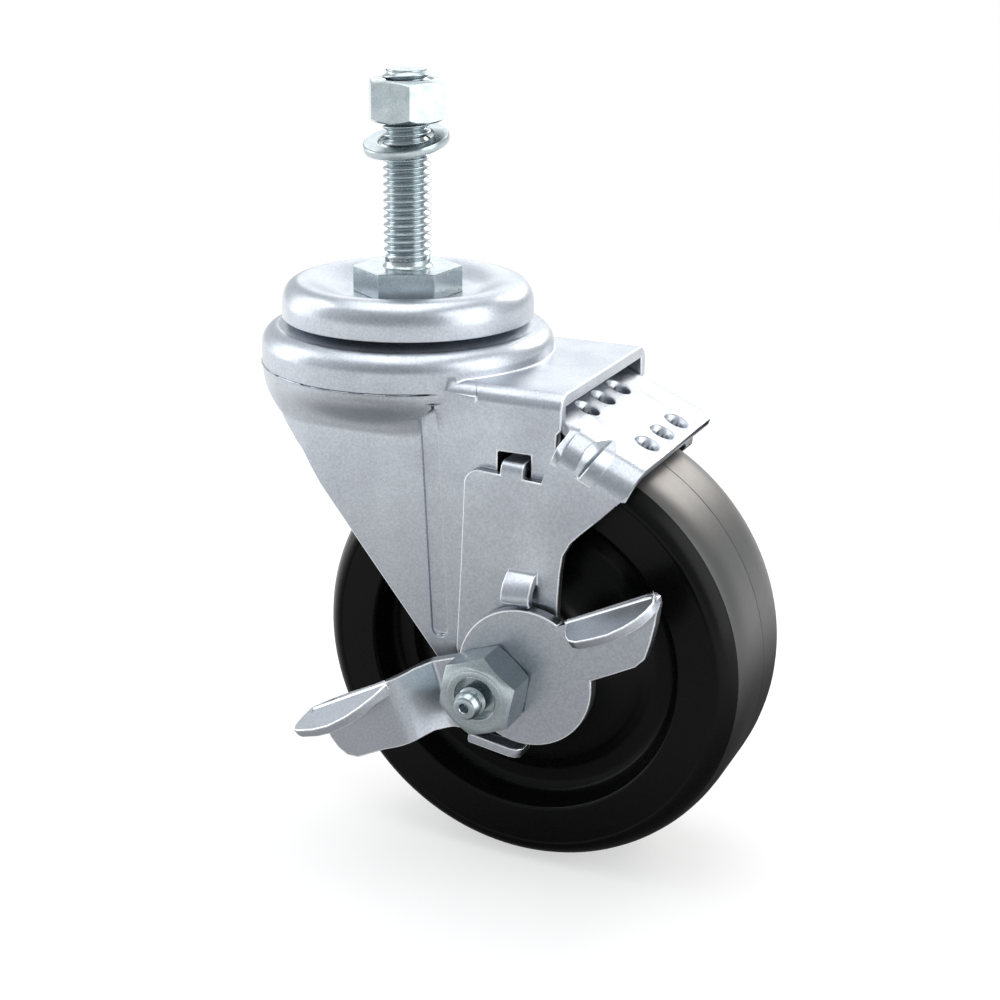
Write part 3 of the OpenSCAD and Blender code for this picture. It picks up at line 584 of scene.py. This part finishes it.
class CASTOR_OT_shoe(bpy.types.Operator):
    """Dress the brake shoe: smooth folds with the dart, and a rounded far corner"""
    bl_idname = "castor.shoe"
    bl_label = "Brake shoe"

    def execute(self, context):
        body = sheet_piece("brake_shoe", 80)
        join(body, [fold_skin(-1, NEAR_REACH, True), fold_skin(1, FAR_REACH, False)])
        bpy.ops.object.mode_set(mode="EDIT")
        for turn in CORNER_CUTS:
            way = Vector((math.cos(math.radians(turn)), math.sin(math.radians(turn)), 0))
            bpy.ops.mesh.select_all(action="SELECT")
            bpy.ops.mesh.bisect(plane_co=FAR_CORNER + way * CORNER_R, plane_no=way, use_fill=True,
                                clear_outer=True)
        bpy.ops.object.mode_set(mode="OBJECT")
        finish_piece(body, "brake_shoe")
        return {"FINISHED"}


# The stem: hexagon, neck, thread and end


def hexagon_piece():
    """The square-cut hexagon under the stem, its edges barely broken."""
    deselect()
    bpy.ops.mesh.primitive_cylinder_add(vertices=6, radius=HEX_AF / 2 / math.cos(math.pi / 6),
                                        depth=-HEX_LOW, location=(0, 0, HEX_LOW / 2),
                                        rotation=(0, 0, HEX_TURN))
    piece = bpy.context.object
    bpy.ops.object.transform_apply(location=True, rotation=True, scale=True)
    round_edges(piece, sizes().bar_edge)
    return piece


def thread_piece():
    """The rolled thread: rounded ridges on a core, fading out at the neck and at the chamfered end."""
    pitch, depth = sizes().thread_pitch, sizes().thread_depth
    root = THREAD_R - depth
    outline = [(root, 0), (root + 0.1 * depth, 0.14 * pitch), (THREAD_R - 0.16 * depth, 0.36 * pitch),
               (THREAD_R, 0.45 * pitch), (THREAD_R, 0.55 * pitch), (THREAD_R - 0.16 * depth, 0.64 * pitch),
               (root + 0.1 * depth, 0.86 * pitch), (root, pitch)]
    piece = swept("thread", outline, 48, rise=pitch, turns=math.ceil(STEM_TOP / pitch) + 2,
                  ends=((NECK_H * 0.5, False), (STEM_TOP - 0.2 * MM, True)))
    for vertex in piece.data.vertices:
        radius = math.hypot(vertex.co.x, vertex.co.y)
        if radius < 1e-6:
            continue
        # The ridges sink into the neck below, and the end's cone cuts them off above
        into_neck = NECK_R + max(0.0, vertex.co.z - NECK_H) * 0.35
        cone = END_R + max(0.0, STEM_TOP - vertex.co.z) * 1.15
        limit = NECK_R if vertex.co.z < NECK_H else min(radius, into_neck, cone)
        vertex.co.x *= limit / radius
        vertex.co.y *= limit / radius
    return piece


def neck_piece():
    """The plain neck under the thread, with a soft foot on the hexagon."""
    foot = -0.2 * MM
    outline = [(0, foot), (NECK_R + 0.55 * MM, foot), (NECK_R + 0.5 * MM, 0.1 * MM),
               (NECK_R + 0.3 * MM, 0.35 * MM), (NECK_R + 0.08 * MM, 0.6 * MM), (NECK_R, 0.9 * MM),
               (NECK_R, NECK_H), (0, NECK_H)]
    return swept("neck", outline, 48)


def end_piece():
    """The stem's flat end, with the shallow hollow that the heading tool leaves."""
    hollow = [(0, -0.45), (0.9, -0.4), (1.7, -0.22), (2.3, -0.05), (2.6, 0)]
    outline = [(radius * MM, STEM_TOP + drop * MM) for radius, drop in hollow]
    outline += [(END_R - 0.12 * MM, STEM_TOP), (END_R, STEM_TOP - 0.1 * MM),
                (END_R + 0.05 * MM, STEM_TOP - 0.35 * MM), (0, STEM_TOP - 0.9 * MM)]
    return swept("end", outline, 48)


class CASTOR_OT_stem(bpy.types.Operator):
    """Cut the thread on the stem, with its hexagon, neck, chamfered end and centre dimple"""
    bl_idname = "castor.stem"
    bl_label = "Threaded stem"

    def execute(self, context):
        body = copy_of("threaded_stem")
        round_edges(body, sizes().bar_edge)
        edit_all(body)
        bpy.ops.mesh.bisect(plane_co=(0, 0, HEX_LOW), plane_no=(0, 0, 1), use_fill=True, clear_outer=True)
        bpy.ops.object.mode_set(mode="OBJECT")
        join(body, [hexagon_piece(), thread_piece(), neck_piece(), end_piece()])
        bpy.ops.object.shade_smooth_by_angle(angle=math.radians(38))
        finish_piece(body, "threaded_stem")
        return {"FINISHED"}


# Nuts, fitting, washers and bearings


def ring_outline():
    """The raised ring on the axle nut's face, a closed section."""
    return metres([(4.2, 0.4), (4.2, 0.1), (4.4, 0), (5.3, 0), (5.7, 0.15), (5.9, 0.4), (4.2, 0.4)])


def fitting_outline():
    """The grease fitting from its ball hole over the head, the throat and the collar to its thread."""
    return metres([(0, 2.2), (0.85, 2.1), (0.9, 0.15), (1.0, 0.0), (1.75, 0.0), (2.15, 0.22), (2.6, 1.0),
                   (2.72, 1.6), (2.6, 2.1), (2.3, 2.5), (2.2, 3.0), (2.3, 3.3), (2.78, 3.6), (2.78, 6.8),
                   (0, 6.8)])


class CASTOR_OT_axle_end(bpy.types.Operator):
    """Chamfer the axle nut, set its raised ring, and turn the grease fitting"""
    bl_idname = "castor.axle_end"
    bl_label = "Axle nut and grease fitting"

    def execute(self, context):
        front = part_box("axle_nut")[0].y
        flat, wide, drop = AXLE_NUT_CONE
        start, back = 0.05, 9
        cone = metres([(0, start), (flat, start), (wide, start + drop), (wide, back), (0, back)])
        nut = chamfered("axle_nut", on_axle(swept("cone", cone, 64), front))
        join(nut, [on_axle(swept("ring", ring_outline(), 48), front - 0.1 * MM)])
        shade(nut, 30)
        finish_piece(nut, "axle_nut")
        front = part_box("grease_fitting")[0].y
        fitting = on_axle(swept("grease_fitting_plated", fitting_outline(), 40), front)
        shade(fitting, 30)
        finish_piece(fitting, "grease_fitting")
        return {"FINISHED"}


class CASTOR_OT_small_parts(bpy.types.Operator):
    """Dress the stem nut, the washers, the bolt and bushes, and the parts of the bearings"""
    bl_idname = "castor.small_parts"
    bl_label = "Nut, bolt, washers and bearings"

    def execute(self, context):
        for name in TURNED:
            piece = copy_of(name)
            round_edges(piece, WASHER_EDGE if name == "lock_washer" else sizes().bar_edge)
            finish_piece(piece, name)
        flat, wide, drop = STEM_NUT_CONE
        tall = (NUT_HIGH.z - NUT_LOW.z) / MM
        cone = metres([(0, 0), (flat, 0), (wide, drop), (wide, tall - drop), (flat, tall), (0, tall)])
        cone = swept("cone", [(radius, NUT_LOW.z + height) for radius, height in cone], 64)
        finish_piece(chamfered("stem_nut", cone), "stem_nut")
        for name in INNER:
            NODES[name].data.materials.clear()
            NODES[name].data.materials.append(made_once(MAKERS[SLOT_OF[name]]))
        return {"FINISHED"}


# The wheel


def wheel_outline():
    """The wheel's closed section: a tread with a mould line and soft shoulders, rims, recesses and hub."""
    outer, half, bore, hub_end, floor = 44.45, 15.875, 12.25, 19.0, 10.0
    tread = [(outer - 0.09, 0.06), (outer, 0.2), (outer, 6.0), (outer - 0.05, 8.0), (outer - 0.25, 9.8),
             (outer - 0.6, 11.3), (outer - 1.1, 12.7), (outer - 1.75, 13.9), (outer - 2.5, 14.85),
             (outer - 3.25, 15.5), (outer - 3.85, 15.8), (outer - 4.25, half)]
    rim = [(39.85, half), (39.7, half - 0.12), (39.5, half - 0.15)] + arc((32.8, half - 0.95), 0.8, 90, 180)
    recess = arc((28.6, floor + 2.4), 2.4, 0, -90) + [(26.4, floor), (25.6, floor + 0.2), (24.8, floor + 0.7)]
    hub = [(24, floor + 0.9), (23.2, 11.68), (21, 12.28), (18.5, 13.4), (16.3, 14.9), (15.2, 16.8),
           (14.9, 17.8), (14.6, 18.6), (14.1, hub_end), (bore, hub_end)]
    side = tread + rim + recess + hub
    return metres([(radius, -across) for radius, across in reversed(side)] + side + [(bore, -hub_end)])


class CASTOR_OT_wheel(bpy.types.Operator):
    """Dress the hard rubber wheel"""
    bl_idname = "castor.wheel"
    bl_label = "Wheel"

    def execute(self, context):
        piece = on_axle(swept("wheel_moulded", wheel_outline(), 144), 0)
        shade(piece, 40)
        finish_piece(piece, "wheel")
        piece.data.materials.append(rubbed_tread())
        for face in piece.data.polygons:
            out = face.center - AXLE
            if math.hypot(out.x, out.z) > TREAD_FROM:
                face.material_index = 1
        return {"FINISHED"}


# Stage: camera, floor, lamps and room


def add_camera():
    azimuth, elevation = math.radians(CAMERA_AZIMUTH), math.radians(CAMERA_ELEVATION)
    back = Vector((math.sin(azimuth) * math.cos(elevation), -math.cos(azimuth) * math.cos(elevation),
                   math.sin(elevation)))
    data = bpy.data.cameras.new("camera")
    camera = bpy.data.objects.new("camera", data)
    bpy.context.scene.collection.objects.link(camera)
    camera.location = CAMERA_TARGET + back * CAMERA_DISTANCE
    turn = (-back).to_track_quat("-Z", "Y").to_matrix() @ Matrix.Rotation(math.radians(CAMERA_ROLL), 3, "Z")
    camera.rotation_mode = "QUATERNION"
    camera.rotation_quaternion = turn.to_quaternion()
    data.sensor_width = SENSOR
    data.lens = FOCAL_PIXELS / FRAME_PIXELS * SENSOR
    data.shift_x = (FRAME_PIXELS / 2 - TARGET_PIXEL[0]) / FRAME_PIXELS
    data.shift_y = (TARGET_PIXEL[1] - FRAME_PIXELS / 2) / FRAME_PIXELS
    data.clip_start, data.clip_end = 0.01, 20
    bpy.context.scene.camera = camera


def mirrored_level(tree, place):
    """The painted shade in the floor that metal mirrors at a place: the lower of the levels that the two
    spots give.
    """
    levels = []
    for spot, values in PAINTED_SHADE_SPOTS:
        gap = node(tree, "ShaderNodeVectorMath", [(place, 0)], operation="DISTANCE")
        gap.inputs[1].default_value = spot
        levels.append(ramp(tree, gap.outputs["Value"], values).outputs["Result"])
    lower = node(tree, "ShaderNodeMath", [(levels[0], 0), (levels[1], 1)], operation="MINIMUM")
    return lower.outputs["Value"]


def add_floor():
    """The floor. The camera sees it as white with a part of its shadow, and metal mirrors it as a glow with a
    painted shade nearby.
    """
    deselect()
    bpy.ops.mesh.primitive_plane_add(size=6, location=(0, 0, FLOOR_Z))
    floor = bpy.context.object
    floor.name = "floor"
    material, tree, shader = new_material("studio_floor")
    shader.inputs["Base Color"].default_value = (*finishes().floor, 1)
    shader.inputs["Roughness"].default_value = 0.9
    shader.inputs["Specular IOR Level"].default_value = 0.1
    place = node(tree, "ShaderNodeTexCoord").outputs["Object"]
    path = node(tree, "ShaderNodeLightPath")
    reach = node(tree, "ShaderNodeVectorMath", [(place, 0)], operation="LENGTH")
    share = ramp(tree, reach.outputs["Value"], FLOOR_RAMP)
    straight = larger(tree, path.outputs["Is Camera Ray"], path.outputs["Is Transmission Ray"])
    part = node(tree, "ShaderNodeMath", [(straight, 0), (share.outputs["Result"], 1)], operation="MULTIPLY")
    white = node(tree, "ShaderNodeEmission")
    seen = node(tree, "ShaderNodeMixShader", [(part.outputs["Value"], 0), (shader.outputs["BSDF"], 1),
                                              (white.outputs["Emission"], 2)])
    # Glossy rays see the floor as a glow, dimmed near the castor as a painted shade
    mirrored = node(tree, "ShaderNodeEmission", [(mirrored_level(tree, place), "Strength")])
    blend = node(tree, "ShaderNodeMixShader",
                 [(path.outputs["Is Glossy Ray"], 0), (seen.outputs["Shader"], 1),
                  (mirrored.outputs["Emission"], 2)])
    tree.links.new(blend.outputs["Shader"], tree.nodes["Material Output"].inputs["Surface"])
    floor.data.materials.append(material)


def add_lamps():
    for name, place, size, power, colour in LAMPS:
        lamp = bpy.data.lights.new(name, "AREA")
        lamp.shape = "RECTANGLE"
        lamp.size, lamp.size_y = size
        lamp.energy = power
        lamp.color = linear(colour)
        holder = bpy.data.objects.new(name, lamp)
        bpy.context.scene.collection.objects.link(holder)
        holder.location = place
        holder.rotation_mode = "QUATERNION"
        holder.rotation_quaternion = (LAMP_TARGET - Vector(place)).to_track_quat("-Z", "Y")


def add_room():
    """The room: white behind the castor, and dimmer, where it is seen, towards the camera's side."""
    world = bpy.data.worlds.new("studio")
    bpy.context.scene.world = world
    world.use_nodes = True
    tree = world.node_tree
    background = tree.nodes["Background"]
    background.inputs["Color"].default_value = (*linear(ROOM_COLOUR), 1)
    place = node(tree, "ShaderNodeTexCoord")
    facing = node(tree, "ShaderNodeVectorMath", [(place.outputs["Generated"], 0)], operation="DOT_PRODUCT")
    facing.inputs[1].default_value = DIM_SIDE
    dim = ramp(tree, facing.outputs["Value"], DIM_RAMP)
    dim.interpolation_type = "SMOOTHSTEP"
    path = node(tree, "ShaderNodeLightPath")
    seen = larger(tree, larger(tree, path.outputs["Is Camera Ray"], path.outputs["Is Glossy Ray"]),
                  path.outputs["Is Transmission Ray"])
    level = ramp(tree, seen, (0, 1, ROOM_LIGHT))
    tree.links.new(dim.outputs["Result"], level.inputs["To Max"])
    tree.links.new(level.outputs["Result"], background.inputs["Strength"])


class CASTOR_OT_stage(bpy.types.Operator):
    """Set the pale floor, the studio lamps, the room and the camera"""
    bl_idname = "castor.stage"
    bl_label = "Stage"

    def execute(self, context):
        add_camera()
        add_floor()
        add_lamps()
        add_room()
        return {"FINISHED"}


class CASTOR_PT_panel(bpy.types.Panel):
    """Lists the castor's steps and settings"""
    bl_label = "Threaded stem castor"
    bl_idname = "CASTOR_PT_panel"
    bl_space_type = "VIEW_3D"
    bl_region_type = "UI"
    bl_category = "Castor"

    def draw(self, context):
        layout = self.layout
        for group in (context.scene.castor_sizes, context.scene.castor_finishes):
            for key in group.__annotations__:
                layout.prop(group, key)
        for step in STEPS:
            layout.operator(step.bl_idname)


STEPS = (CASTOR_OT_stage, CASTOR_OT_pressings, CASTOR_OT_shoe, CASTOR_OT_stem, CASTOR_OT_axle_end,
         CASTOR_OT_small_parts, CASTOR_OT_wheel)
CLASSES = (SizeSettings, FinishSettings, *STEPS, CASTOR_PT_panel)


def register():
    for item in CLASSES:
        bpy.utils.register_class(item)
    bpy.types.Scene.castor_sizes = bpy.props.PointerProperty(type=SizeSettings)
    bpy.types.Scene.castor_finishes = bpy.props.PointerProperty(type=FinishSettings)


def unregister():
    del bpy.types.Scene.castor_finishes
    del bpy.types.Scene.castor_sizes
    for item in reversed(CLASSES):
        bpy.utils.unregister_class(item)


def main():
    register()
    bpy.context.scene.view_settings.view_transform = "Standard"
    bpy.ops.castor.stage()
    bpy.ops.castor.pressings()
    bpy.ops.castor.shoe()
    bpy.ops.castor.stem()
    bpy.ops.castor.axle_end()
    bpy.ops.castor.small_parts()
    bpy.ops.castor.wheel()


if __name__ == "__main__":
    main()
